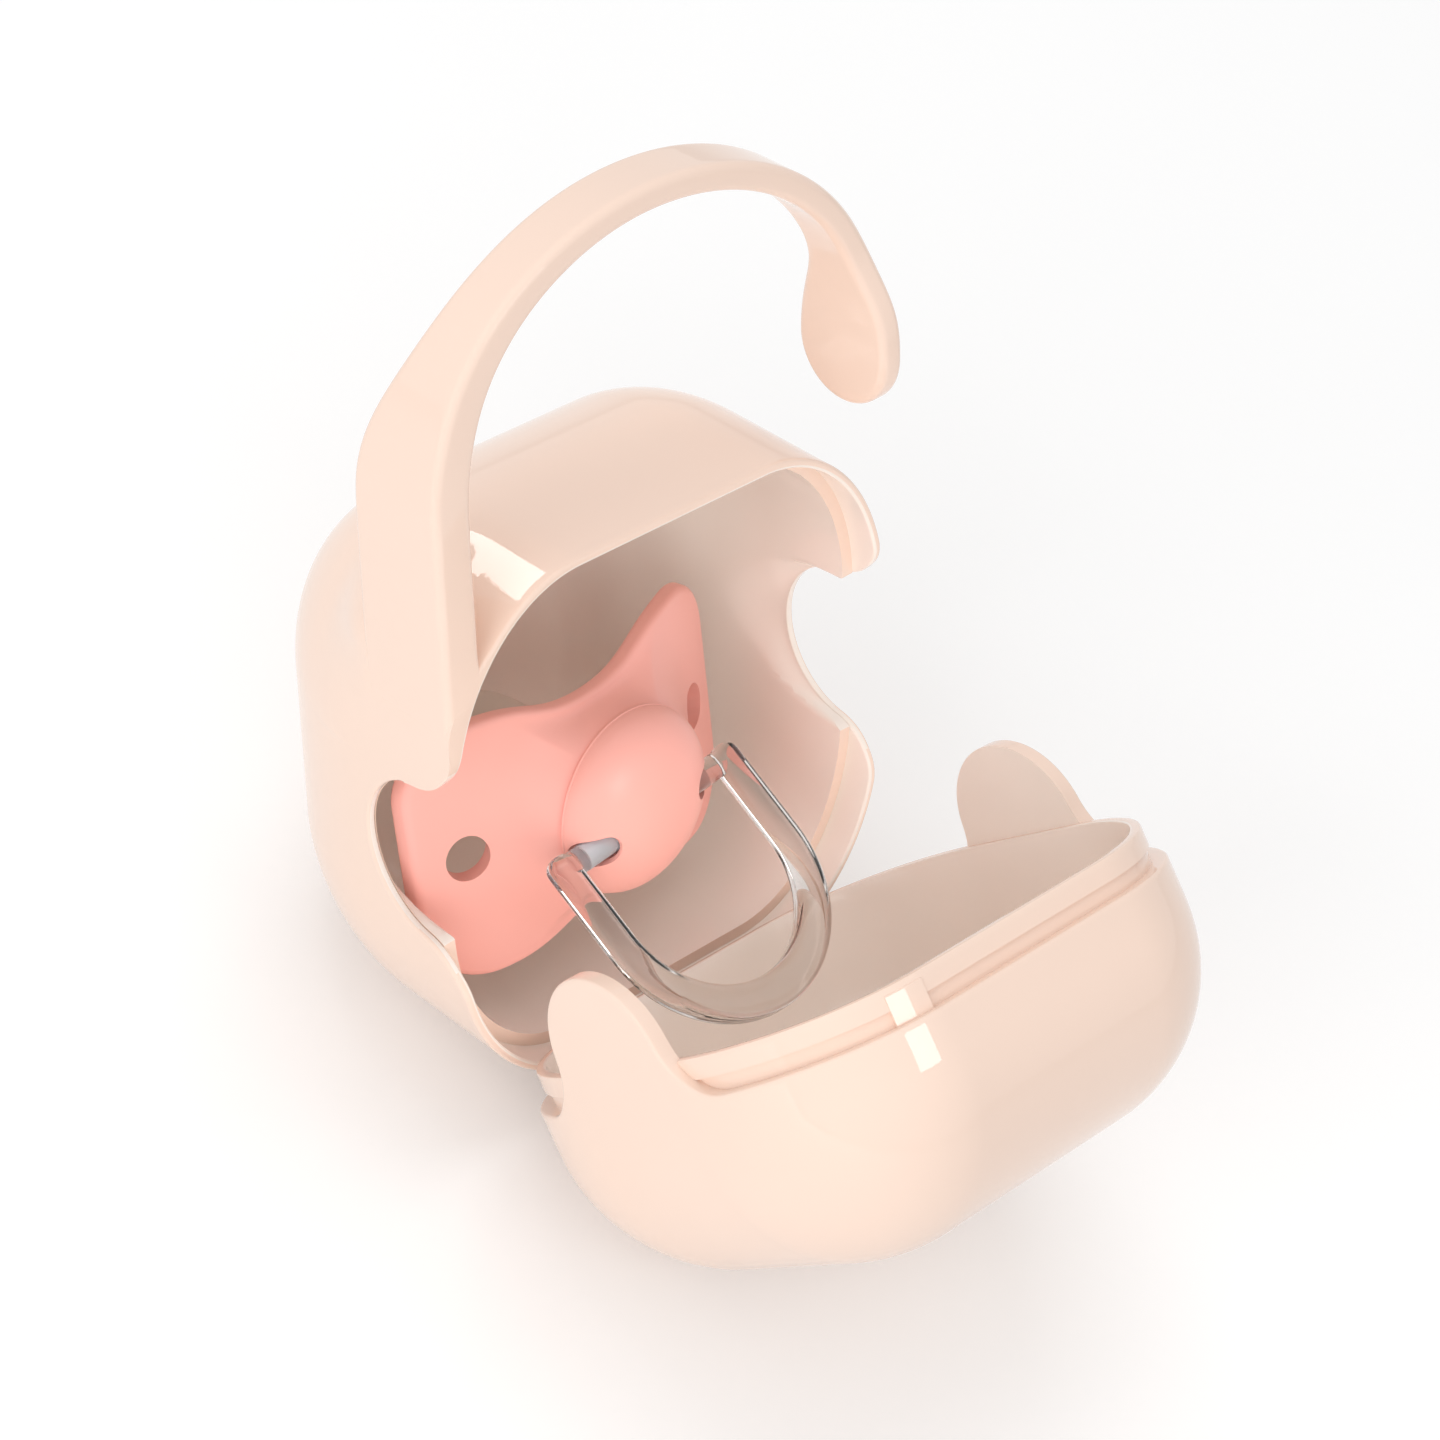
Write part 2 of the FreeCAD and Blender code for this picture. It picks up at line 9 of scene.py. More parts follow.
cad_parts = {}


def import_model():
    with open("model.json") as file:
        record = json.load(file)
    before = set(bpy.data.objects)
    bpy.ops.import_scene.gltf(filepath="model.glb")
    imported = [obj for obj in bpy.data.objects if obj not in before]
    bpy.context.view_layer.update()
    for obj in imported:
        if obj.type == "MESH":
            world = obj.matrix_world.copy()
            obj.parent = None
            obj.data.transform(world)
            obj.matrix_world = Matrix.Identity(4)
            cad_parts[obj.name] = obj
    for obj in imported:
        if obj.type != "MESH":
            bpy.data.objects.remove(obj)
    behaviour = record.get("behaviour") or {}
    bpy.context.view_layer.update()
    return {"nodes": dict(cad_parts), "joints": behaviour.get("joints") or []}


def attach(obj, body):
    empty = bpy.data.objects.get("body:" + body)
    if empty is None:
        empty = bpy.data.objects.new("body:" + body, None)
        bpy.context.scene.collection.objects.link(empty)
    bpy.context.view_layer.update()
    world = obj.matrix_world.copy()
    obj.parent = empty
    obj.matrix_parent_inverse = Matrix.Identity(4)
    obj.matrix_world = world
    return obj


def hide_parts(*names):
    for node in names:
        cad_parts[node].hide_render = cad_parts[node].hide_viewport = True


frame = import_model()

joints = {joint["name"]: joint for joint in frame["joints"]}

# Sizes of the case in millimetres. The main ones are the CAD part's; the latch block stands where the
# photograph shows it. Case frame: parting plane at y = 0, rear shell at +y, z up.
MM = 0.001
CASE_W, CASE_H = 58.0, 61.5
REAR_DEPTH, FRONT_DEPTH, BACK_FLAT = 38.0, 23.5, 0.04
ROUND_X, ROUND_Z, ROUND_REAR, ROUND_FRONT = 17.0, 22.0, 23.0, 18.8
CORE_X, CORE_Z = CASE_W / 2 - ROUND_X, CASE_H / 2 - ROUND_Z
WALL, RIM, RIM_ROUND, SEAM = 2.4, 1.0, 0.35, 0.2
LIP_GAP, LIP_H, GROOVE_H, GROOVE_DEEP = 0.25, 3.6, 1.6, 0.4
LIP_ROUND, LIP_BEVEL, INNER_ROUND, INNER_BEVEL = 0.3, 0.09, 0.25, 0.07
EAR_DEPTH, EAR_TIP, EAR_FOOT, EAR_THICK, EAR_GAP = 13.6, 9.0, 6.7, 1.8, 0.25
EAR_EASE, FOOT_RUN = (0.02, 0.06), 1.5
LATCH_X, LATCH_W, LATCH_H, LATCH_SUNK, LATCH_ROUND = -14.6, 4.4, 2.9, 1.12, 0.15
LATCH_EDGE = 0.02
HINGE_CASE = np.array([0.0, -SEAM / 2, -CASE_H / 2])
HINGE = np.array(joints["front_shell_hinge"]["pos_m"]) / MM
OPEN = math.radians(joints["front_shell_hinge"]["range_deg"][1])
LEAN = math.radians(18.019)

# How finely the skins are divided, and the bends in degrees that show as sharp edges
OUTLINE_STEPS, EAR_STEPS, RIM_STEPS = 400, 26, 110
SHARP, SHARP_REAR, SHARP_HOOK, SHARP_BEAD = 40.0, 22.0, 50.0, 60.0


def smooth(t):
    """An S-shaped step from 0 to 1."""
    t = np.clip(t, 0, 1)
    return t * t * (3 - 2 * t)


def fade(v, ends):
    """1 before the first end, 0 after the second."""
    return 1 - smooth((v - ends[0]) / (ends[1] - ends[0]))


def turn_x(p, angle):
    """Turns points about the x axis, positive taking +y to +z."""
    c, s = math.cos(angle), math.sin(angle)
    return np.stack([p[..., 0], p[..., 1] * c - p[..., 2] * s, p[..., 1] * s + p[..., 2] * c], -1)


def world(p, opened=False):
    """Case frame in millimetres to the row frame in metres."""
    q = np.asarray(p, float) - HINGE_CASE
    if opened:
        q = turn_x(q, OPEN)
    return (turn_x(q, -LEAN) + HINGE) * MM


def world_dir(d):
    """A direction of the case frame in the row frame."""
    return Vector(turn_x(np.asarray(d, float), -LEAN))


def way_along(points):
    """The distance along a line of points, from its first point to each."""
    return np.append(0, np.cumsum(np.linalg.norm(np.diff(points, axis=0), axis=1)))


def bezier(poles, steps):
    """Points of the smooth curve with the four given poles."""
    t = np.linspace(0, 1, steps)[:, None]
    weights = (1 - t) ** 3, 3 * (1 - t) ** 2 * t, 3 * (1 - t) * t ** 2, t ** 3
    return sum(weight * np.array(pole) for weight, pole in zip(weights, poles))


# The outline of the case
def outline_table():
    """The outline as a core rectangle plus an ellipse: each place has a core point and a direction."""
    segments = [((CORE_X, 0), (CORE_X, CORE_Z), 0, 0),
                ((CORE_X, CORE_Z), (CORE_X, CORE_Z), 0, 90),
                ((CORE_X, CORE_Z), (-CORE_X, CORE_Z), 90, 90),
                ((-CORE_X, CORE_Z), (-CORE_X, CORE_Z), 90, 180),
                ((-CORE_X, CORE_Z), (-CORE_X, -CORE_Z), 180, 180),
                ((-CORE_X, -CORE_Z), (-CORE_X, -CORE_Z), 180, 270),
                ((-CORE_X, -CORE_Z), (CORE_X, -CORE_Z), 270, 270),
                ((CORE_X, -CORE_Z), (CORE_X, -CORE_Z), 270, 360),
                ((CORE_X, -CORE_Z), (CORE_X, 0), 360, 360)]
    core, direction = [], []
    t = np.linspace(0, 1, OUTLINE_STEPS, endpoint=False)
    for a, b, turn_a, turn_b in segments:
        core.append(np.array(a) + (np.array(b) - np.array(a)) * t[:, None])
        direction.append(np.radians(turn_a + (turn_b - turn_a) * t))
    core = np.vstack(core + [[(CORE_X, 0)]])
    direction = np.append(np.concatenate(direction), 2 * math.pi)
    points = core + np.stack([ROUND_X * np.cos(direction), ROUND_Z * np.sin(direction)], 1)
    return way_along(points), core, direction, points


LENGTH, CORE, DIRECTION, OUTER = outline_table()
TOTAL = LENGTH[-1]
QUARTER = LENGTH < TOTAL / 4
# From the right end over the top to the left end
OVER_TOP = slice(OUTLINE_STEPS, 4 * OUTLINE_STEPS)
LATCH_PLACE = np.interp(LATCH_X, OUTER[OVER_TOP, 0][::-1], LENGTH[OVER_TOP][::-1])


def on_outline(place, inset, y, squeeze=1.0):
    """Points of the case's skin at a place on the outline, drawn in by inset, at depth y."""
    place = np.mod(place, TOTAL)
    core_x = np.interp(place, LENGTH, CORE[:, 0])
    core_z = np.interp(place, LENGTH, CORE[:, 1])
    direction = np.interp(place, LENGTH, DIRECTION)
    x = core_x + (ROUND_X - inset) * np.cos(direction) * squeeze
    z = core_z + (ROUND_Z - inset) * np.sin(direction) * squeeze
    return np.stack(np.broadcast_arrays(x, y, z), -1)


def place_at_height(z):
    """Place on the right end of the outline at height z."""
    return np.sign(z) * np.interp(np.abs(z), OUTER[QUARTER, 1], LENGTH[QUARTER])


def bell(grow):
    """The ear outline from its lower foot to its upper foot, as (z, y) points."""
    tip, foot = EAR_TIP + grow, EAR_FOOT - grow
    tip_y, foot_y = EAR_DEPTH - EAR_TIP, EAR_FOOT
    foot_z = math.sqrt((tip + foot) ** 2 - (tip_y - foot_y) ** 2)
    lean = math.atan2(foot_y - tip_y, foot_z)
    a = np.linspace(-math.pi / 2, lean - math.pi, EAR_STEPS)
    lower = np.stack([foot_z + foot * np.cos(a), foot_y + foot * np.sin(a)], 1)
    b = np.linspace(lean, math.pi / 2, EAR_STEPS)[1:]
    upper = np.stack([tip * np.cos(b), tip_y + tip * np.sin(b)], 1)
    half = np.vstack([lower, upper])
    return np.vstack([half, (half[:-1] * [-1, 1])[::-1]])[::-1]


def rim_columns(grow, base):
    """Columns round the rim: (place, edge depth), inward direction of the edge, even place for far rows."""
    ear = bell(grow)
    # The feet run out level with the rim.
    foot = ear[:, 1].min()
    ear[:, 1] -= (foot - base) * fade(ear[:, 1], (foot, foot + FOOT_RUN))
    right_places = place_at_height(ear[:, 0])
    right = np.stack([right_places, ear[:, 1]], 1)
    left = np.stack([TOTAL / 2 - right_places, ear[:, 1]], 1)[::-1]
    span = right_places[-1]
    top = np.linspace(span, TOTAL / 2 - span, RIM_STEPS)[1:-1]
    # The latch block has a column just inside and just outside each of its sides.
    side = LATCH_W / 2 + LATCH_EDGE * np.array([-1, 1])
    top = np.sort(np.append(top, LATCH_PLACE + np.append(-side, side)))
    low = np.linspace(TOTAL / 2 + span, TOTAL - span, RIM_STEPS)[1:-1]
    cols = np.vstack([right, np.stack([top, top * 0 + base], 1), left, np.stack([low, low * 0 + base], 1)])
    after, before = np.roll(cols, -1, 0), np.roll(cols, 1, 0)
    after[-1, 0] += TOTAL
    before[0, 0] -= TOTAL
    along = after - before
    along /= np.linalg.norm(along, axis=1, keepdims=True)
    normal = np.stack([-along[:, 1], along[:, 0]], 1)
    far = cols[:, 0].copy()
    even = span * np.linspace(-1, 1, len(ear))
    far[:len(ear)] = even
    start = len(ear) + len(top)
    far[start:start + len(ear)] = TOTAL / 2 + even
    return cols, normal, far


def part_way(edge, far, flat_y, share):
    """Places and depths a share of the way from the edge to the even places at depth flat_y."""
    return edge[:, 0] + (far - edge[:, 0]) * share, edge[:, 1] + (flat_y - edge[:, 1]) * share


def rounded(cols, inward, radius, angle):
    """One row of the rim's rounded edge: places, depths, and how far it is drawn in."""
    q = cols + inward * np.reshape(radius * (1 - math.sin(angle)), (-1, 1))
    return q[:, 0], q[:, 1], radius * (1 - math.cos(angle))


# Meshes, in metres: closer points are joined, and shorter edges are dissolved
JOIN_WITHIN, EMPTY_BELOW = 2e-6, 1e-7


def clean_mesh(name, verts, faces):
    """A mesh with doubled points joined and its faces turned outwards."""
    me = bpy.data.meshes.new(name)
    me.from_pydata([tuple(v) for v in verts], [], faces)
    bm = bmesh.new()
    bm.from_mesh(me)
    bmesh.ops.remove_doubles(bm, verts=bm.verts, dist=JOIN_WITHIN)
    bmesh.ops.dissolve_degenerate(bm, edges=bm.edges, dist=EMPTY_BELOW)
    bmesh.ops.recalc_face_normals(bm, faces=bm.faces)
    bm.to_mesh(me)
    bm.free()
    return me


def shade_smooth(me, sharp):
    """Smooth shading, apart from edges that bend more than sharp degrees."""
    me.polygons.foreach_set("use_smooth", [True] * len(me.polygons))
    me.set_sharp_from_angle(angle=math.radians(sharp))


def mesh_piece(name, verts, faces, body, material, sharp=SHARP):
    """A new piece of the object that rides a body."""
    me = clean_mesh(name, verts, faces)
    shade_smooth(me, sharp)
    ob = bpy.data.objects.new(name, me)
    bpy.context.scene.collection.objects.link(ob)
    ob.data.materials.append(material)
    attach(ob, body)
    return ob


def grid_faces(rows, cols, joined=False):
    """Faces between closed rows of points; joined closes the last row on the first."""
    faces = []
    for r in range(rows if joined else rows - 1):
        after = (r + 1) % rows
        for c in range(cols):
            d = (c + 1) % cols
            faces.append((r * cols + c, r * cols + d, after * cols + d, after * cols + c))
    return faces


def capped_faces(rows, cols):
    """Faces between closed rows of points, with one face over each end."""
    first, last = range(cols), range((rows - 1) * cols, rows * cols)
    return grid_faces(rows, cols) + [tuple(first), tuple(last)[::-1]]


# Materials: clouds of shade and gloss, a fine grain, flow marks in clear plastic, and its cloudy look
CLOUD_DETAIL, CLOUD_RAMP, CLOUD_GLOSS = 3, (0.3, 0.7), 0.15
GRAIN_DETAIL, GRAIN_FINER, GRAIN_DEPTH = 2, 60, 0.0001
FLOW_SCALE, FLOW_GLOSS = 120, 0.5
CLOUDY_CLEAR, CLOUDY_ROUGH = 0.4, 0.5
# Where a colour mix has its two inputs and its result
MIX_A, MIX_B, MIX_RESULT = 6, 7, 2


def srgb(*levels):
    """Screen levels from 0 to 255 as linear values."""
    shares = [v / 255 for v in levels]
    return [s / 12.92 if s <= 0.04045 else ((s + 0.055) / 1.055) ** 2.4 for s in shares]


def new_material(name):
    """A new material, its node tree and its main shader."""
    m = bpy.data.materials.new(name)
    m.use_nodes = True
    return m, m.node_tree, m.node_tree.nodes["Principled BSDF"]


def map_range(nt, value, low, high):
    """A value from 0 to 1 turned into one from low to high."""
    node = nt.nodes.new("ShaderNodeMapRange")
    node.inputs["To Min"].default_value = low
    node.inputs["To Max"].default_value = high
    nt.links.new(value, node.inputs["Value"])
    return node


def noise(nt, scale, detail=2):
    """A noise pattern that stays with the object."""
    coord = nt.nodes.new("ShaderNodeTexCoord")
    node = nt.nodes.new("ShaderNodeTexNoise")
    node.inputs["Scale"].default_value = scale
    node.inputs["Detail"].default_value = detail
    nt.links.new(coord.outputs["Object"], node.inputs["Vector"])
    return node.outputs["Fac"]


def plastic(name, colour, roughness, variation, bump, scale):
    """Moulded plastic: a faint cloudy change of shade and gloss, and a very fine surface texture."""
    m, nt, b = new_material(name)
    cloud = noise(nt, scale, CLOUD_DETAIL)
    ramp = nt.nodes.new("ShaderNodeValToRGB")
    shades = [c * (1 - variation) for c in colour], [min(1, c * (1 + variation)) for c in colour]
    for stop, place, shade in zip(ramp.color_ramp.elements, CLOUD_RAMP, shades):
        stop.position = place
        stop.color = (*shade, 1)
    nt.links.new(cloud, ramp.inputs["Fac"])
    nt.links.new(ramp.outputs["Color"], b.inputs["Base Color"])
    rough = map_range(nt, cloud, roughness * (1 - CLOUD_GLOSS), roughness * (1 + CLOUD_GLOSS))
    nt.links.new(rough.outputs["Result"], b.inputs["Roughness"])
    dent = nt.nodes.new("ShaderNodeBump")
    dent.inputs["Strength"].default_value = bump
    dent.inputs["Distance"].default_value = GRAIN_DEPTH
    nt.links.new(noise(nt, scale * GRAIN_FINER, GRAIN_DETAIL), dent.inputs["Height"])
    nt.links.new(dent.outputs["Normal"], b.inputs["Normal"])
    return m


def clear_plastic(name, ior, dark, light, roughness):
    """Clear moulded plastic with faint flow marks."""
    m, nt, b = new_material(name)
    b.inputs["Transmission Weight"].default_value = 1.0
    b.inputs["IOR"].default_value = ior
    flow = noise(nt, FLOW_SCALE)
    tint = nt.nodes.new("ShaderNodeValToRGB")
    tint.color_ramp.elements[0].color = (*dark, 1)
    tint.color_ramp.elements[1].color = (*light, 1)
    nt.links.new(flow, tint.inputs["Fac"])
    nt.links.new(tint.outputs["Color"], b.inputs["Base Color"])
    rough = map_range(nt, flow, roughness * (1 - FLOW_GLOSS), roughness * (1 + FLOW_GLOSS))
    nt.links.new(rough.outputs["Result"], b.inputs["Roughness"])
    return m


# How hard and soft plastics vary
HARD = {"variation": 0.015, "bump": 0.02, "scale": 30}
SOFT = {"variation": 0.02, "bump": 0.05, "scale": 40}
case_mat = plastic("case_plastic", srgb(245, 218, 201), 0.035, **HARD)
# The inside plastic is a paler, less saturated copy of the case plastic: painted light that lifts the shade
# inside the shells.
inside_light_mat = plastic("case_plastic_inside_painted_light", srgb(247, 236, 226), 0.1, **HARD)
pink_mat = plastic("pacifier_plastic", srgb(252, 180, 168), 0.38, **SOFT)
plug_mat = plastic("plug_plastic", srgb(236, 232, 226), 0.4, **SOFT)
teat_mat = plastic("teat_silicone", srgb(214, 200, 189), 0.45, **SOFT)
ring_mat = clear_plastic("ring_clear", 1.46, srgb(222, 216, 211), srgb(241, 237, 234), 0.04)

# The ring's left pin in metres: its middle along the pivot's line, half its length, its radius, a soft edge
PIN_MIDDLE, PIN_HALF, PIN_RADIUS, PIN_EDGE = 0.0071, 0.0028, 0.00145, 0.0004


def cloud_pin(m, colour):
    """Makes the ring's left pin cloudy: places close to the pivot's line, from the arm to the knob."""
    nt = m.node_tree
    b = nt.nodes["Principled BSDF"]
    pivot, axis = joints["ring_pivot"]["pos_m"], joints["ring_pivot"]["axis"]

    def vector(operation, first, second=None):
        node = nt.nodes.new("ShaderNodeVectorMath")
        node.operation = operation
        nt.links.new(first, node.inputs[0])
        if second:
            node.inputs[1].default_value = second
        return node

    def math_node(operation, *values):
        node = nt.nodes.new("ShaderNodeMath")
        node.operation = operation
        for value, place in zip(values, node.inputs):
            nt.links.new(value, place)
        return node.outputs[0]

    def below(value, limit):
        node = map_range(nt, value, 1.0, 0.0)
        node.inputs["From Min"].default_value = limit
        node.inputs["From Max"].default_value = limit + PIN_EDGE
        return node.outputs["Result"]

    coord = nt.nodes.new("ShaderNodeTexCoord")
    middle = [p + PIN_MIDDLE * a for p, a in zip(pivot, axis)]
    arm = vector("SUBTRACT", coord.outputs["Object"], middle).outputs["Vector"]
    reach = math_node("ABSOLUTE", vector("DOT_PRODUCT", arm, axis).outputs["Value"])
    off = vector("LENGTH", vector("CROSS_PRODUCT", arm, axis).outputs["Vector"]).outputs["Value"]
    pin = math_node("MULTIPLY", below(reach, PIN_HALF), below(off, PIN_RADIUS))
    clear = map_range(nt, pin, 1.0, CLOUDY_CLEAR)
    nt.links.new(clear.outputs["Result"], b.inputs["Transmission Weight"])
    gloss = nt.nodes.new("ShaderNodeMix")
    nt.links.new(pin, gloss.inputs["Factor"])
    nt.links.new(b.inputs["Roughness"].links[0].from_socket, gloss.inputs["A"])
    gloss.inputs["B"].default_value = CLOUDY_ROUGH
    nt.links.new(gloss.outputs["Result"], b.inputs["Roughness"])
    tint = nt.nodes.new("ShaderNodeMix")
    tint.data_type = "RGBA"
    nt.links.new(pin, tint.inputs["Factor"])
    nt.links.new(b.inputs["Base Color"].links[0].from_socket, tint.inputs[MIX_A])
    tint.inputs[MIX_B].default_value = (*colour, 1)
    nt.links.new(tint.outputs[MIX_RESULT], b.inputs["Base Color"])


cloud_pin(ring_mat, srgb(243, 249, 255))

# Shells
# A face belongs to the inside, which gets the paler plastic as painted light, when it looks towards the
# middle by more than this.
LOOKS_IN = 0.2
# The end wall comes out to the strap within these depths and heights, and in a fillet behind the strap.
SWELL_Y, SWELL_Z = (11.5, 22.0), (16.5, 25.5)
FILLET_RISES_Y, FILLET_FALLS_Y, FILLET_Z = (9.0, 12.0), (12.4, 23.0), (22.0, 30.5)
NOTCH_RUN, NOTCH_THINS = 4.0, 8.0
# Rows of points: degrees of the domed ends, and shares of the way from the rim to the dome
REAR_INNER_DOME = np.append(np.linspace(90, 30, 11), np.linspace(28, 0, 15))
REAR_OUTER_DOME = np.linspace(0, 90, 31)
REAR_INNER_SHARES = (0.8, 0.6, 0.42, 0.26, 0.13, 0.05, 0.0)
REAR_OUTER_SHARES = (0.05, 0.13, 0.26, 0.42, 0.56, 0.66, 0.74, 0.8, 0.86, 0.93)
FRONT_OUTER_DOME, FRONT_INNER_DOME = np.linspace(90, 0, 21), np.linspace(0, 90, 19)
FRONT_OUTER_SHARES, FRONT_INNER_SHARES = np.linspace(0.9, 0.05, 12), (0.2, 0.5, 0.8)
REAR_END_ROUND, REAR_SKIN_ROUND, FRONT_ROUND = 4, 7, 5


def paint_inside_light(ob, opened):
    """Gives the inside of a shell the paler copy of the case plastic, painted light that lifts the shade
    inside: faces that look towards the middle of the case.
    """
    ob.data.materials.append(inside_light_mat)
    middle = Vector(world(np.zeros(3), opened))
    for f in ob.data.polygons:
        if f.normal.dot((middle - f.center).normalized()) > LOOKS_IN:
            f.material_index = 1


def swell_reach(p):
    """How far the left end wall comes out to the strap: all the way low down, and behind the strap."""
    x, y, z = p.T
    low = fade(y, SWELL_Y) * fade(z, SWELL_Z)
    behind = (1 - fade(y, FILLET_RISES_Y)) * fade(y, FILLET_FALLS_Y) * fade(z, FILLET_Z)
    return np.where((x < -CORE_X) & (z > CORE_Z), np.maximum(low, behind), 0)


def swell(p):
    """The left end wall brought out flush with the strap near the rim, so the strap grows out of it."""
    out = p.copy()
    out[:, 0] -= (CASE_W / 2 + p[:, 0]) * swell_reach(p)
    return out


def rear_shell():
    """The rear half as rows of points: inner skin, rabbet, rounded rim, outer skin."""
    cols, normal, far = rim_columns(EAR_GAP, 0.0)
    edge = cols[:, 1]
    flat_y = REAR_DEPTH - ROUND_REAR
    rabbet = np.maximum(edge, LIP_H + LIP_GAP)
    inner_edge = np.stack([cols[:, 0], rabbet], 1)
    notched = smooth((edge - LIP_H - LIP_GAP) / NOTCH_RUN)

    def inner_inset(y):
        # The wall thins towards the notches.
        return WALL - (WALL - RIM) * notched * fade(y - rabbet, (0, NOTCH_THINS))

    rows = []
    for t in np.radians(REAR_INNER_DOME):
        y = flat_y + (ROUND_REAR - WALL) * math.sin(t)
        rows.append(on_outline(far, inner_inset(y), y, math.cos(t)))
    for share in REAR_INNER_SHARES:
        place, y = part_way(inner_edge, far, flat_y, share)
        rows.append(on_outline(place, inner_inset(y), y))
    rows.append(on_outline(cols[:, 0], RIM, rabbet))
    for angle in np.linspace(0, math.pi / 2, REAR_END_ROUND):
        place, y, drawn = rounded(cols, normal, RIM_ROUND, angle)
        rows.append(on_outline(place, RIM - drawn, y))
    # At the strap the rim's outer edge is as round as the strap's.
    at_strap = swell_reach(on_outline(cols[:, 0], 0, edge)) * fade(edge, (0, LIP_H))
    outer_round = RIM_ROUND + (HOOK_ROUND - RIM_ROUND) * at_strap
    for angle in np.linspace(math.pi / 2, 0, REAR_SKIN_ROUND):
        place, y, drawn = rounded(cols, normal, outer_round, angle)
        rows.append(swell(on_outline(place, drawn, y)))
    start = cols + normal * outer_round[:, None]
    for share in REAR_OUTER_SHARES:
        place, y = part_way(start, far, flat_y, share)
        rows.append(swell(on_outline(place, 0, y)))
    for t in np.radians(REAR_OUTER_DOME):
        y = min(flat_y + ROUND_REAR * math.sin(t), REAR_DEPTH - BACK_FLAT)
        rows.append(swell(on_outline(far, 0, y, math.cos(t))))
    faces = capped_faces(len(rows), len(cols))
    verts = world(np.vstack(rows))
    ob = mesh_piece("rear_shell_skin", verts, faces, "rear", case_mat, SHARP_REAR)
    paint_inside_light(ob, False)
    return ob


def lip_rows(place, edge):
    """Shoulder or ear end face, groove, bead, latch block and lip, as rows from the skin to the inside."""
    bead = GROOVE_H - SEAM
    outer_lip = RIM + LIP_GAP
    is_ear = edge >= LIP_H - LIP_ROUND
    above_groove = (edge >= bead) & ~is_ear
    block = np.abs(place - LATCH_PLACE) < LATCH_W / 2
    lip = np.where(is_ear, EAR_THICK, outer_lip)
    low = np.where(is_ear, EAR_THICK, np.where(above_groove, outer_lip, outer_lip + GROOVE_DEEP))
    low = np.where(block, LATCH_SUNK, low)
    raised = np.where(block, LATCH_SUNK, lip)

    def up_to(height):
        return np.where(is_ear, LIP_H, np.maximum(edge, height))

    bevel = lip + np.where(is_ear, EAR_EASE[0], LIP_BEVEL)
    end = lip + np.where(is_ear, EAR_EASE[1], LIP_ROUND)
    return [on_outline(place, low, edge),
            on_outline(place, low, np.maximum(edge, bead)),
            on_outline(place, raised, np.maximum(edge, bead)),
            on_outline(place, raised, up_to(LATCH_H - LATCH_ROUND)),
            on_outline(place, np.where(block, LATCH_SUNK + LATCH_ROUND, lip), up_to(LATCH_H)),
            on_outline(place, lip, up_to(LATCH_H)),
            on_outline(place, lip, up_to(LIP_H - LIP_ROUND)),
            on_outline(place, bevel, np.where(is_ear, LIP_H, LIP_H - LIP_BEVEL)),
            on_outline(place, end, LIP_H),
            on_outline(place, WALL - INNER_ROUND, LIP_H),
            on_outline(place, WALL - INNER_BEVEL, LIP_H - INNER_BEVEL),
            on_outline(place, WALL, LIP_H - INNER_ROUND)]


def front_shell():
    """The front half as rows of points: outer skin, rounded edge, ears and lip, inner skin."""
    cols, normal, far = rim_columns(0.0, -SEAM)
    rim_places, edge = cols.T
    flat_y = -(FRONT_DEPTH - ROUND_FRONT) - SEAM
    rows = []
    for t in np.radians(FRONT_OUTER_DOME):
        rows.append(on_outline(far, 0, flat_y - ROUND_FRONT * math.sin(t), math.cos(t)))
    start = cols - normal * RIM_ROUND
    for share in FRONT_OUTER_SHARES:
        place, y = part_way(start, far, flat_y, share)
        rows.append(on_outline(place, 0, y))
    for angle in np.linspace(0, math.pi / 2, FRONT_ROUND):
        place, y, drawn = rounded(cols, -normal, RIM_ROUND, angle)
        rows.append(on_outline(place, drawn, y))
    rows += lip_rows(rim_places, edge)
    inside = np.stack([rim_places, rim_places * 0 + LIP_H - INNER_ROUND], 1)
    for share in FRONT_INNER_SHARES:
        place, y = part_way(inside, far, flat_y, share)
        rows.append(on_outline(place, WALL, y))
    for t in np.radians(FRONT_INNER_DOME):
        rows.append(on_outline(far, WALL, flat_y - (ROUND_FRONT - WALL) * math.sin(t), math.cos(t)))
    faces = capped_faces(len(rows), len(cols))
    verts = world(np.vstack(rows), True)
    ob = mesh_piece("front_shell_skin", verts, faces, "front", case_mat)
    paint_inside_light(ob, True)
    return ob


# Hook
HOOK_RISE, ARCH_HEIGHT, HOOK_THICK, HOOK_ROUND, HOOK_MID = 35.0, 25.5, 2.9, 0.9, 4.7
HOOK_TOP = CASE_H / 2 + HOOK_RISE
ARCH_Z = HOOK_TOP - ARCH_HEIGHT
TAPER_START, NECK_W, NECK_H = 6.0, 6.4, 14.0
PADDLE_W, PADDLE_FORWARD, PADDLE_LEG, PADDLE_SIDE = 12.4, 0.4, 9.3, 20.0
ROOT_LOW, ROOT_FRONT, ROOT_BACK, ROOT_THICK = 16.0, 0.2, 12.8, 4.4
# Low down the strap's outer face lies under the end wall, and its front comes out of the rim's face.
ROOT_SINK, ROOT_DEEP, ROOT_EDGE, ROOT_EDGE_Z = 0.05, 0.9, 0.2, (21.0, 26.0)
ROOT_PROUD, ROOT_BURIED, ROOT_MEETS_Z, ROOT_LEVEL_Z = 0.01, 0.07, (16.0, 21.5), 26.0
LEG_STEPS, ARC_STEPS, PADDLE_STEPS, BEND_STEPS, EASE_STEPS = 60, 90, 40, 9, 300
FACE_INSET = 0.5


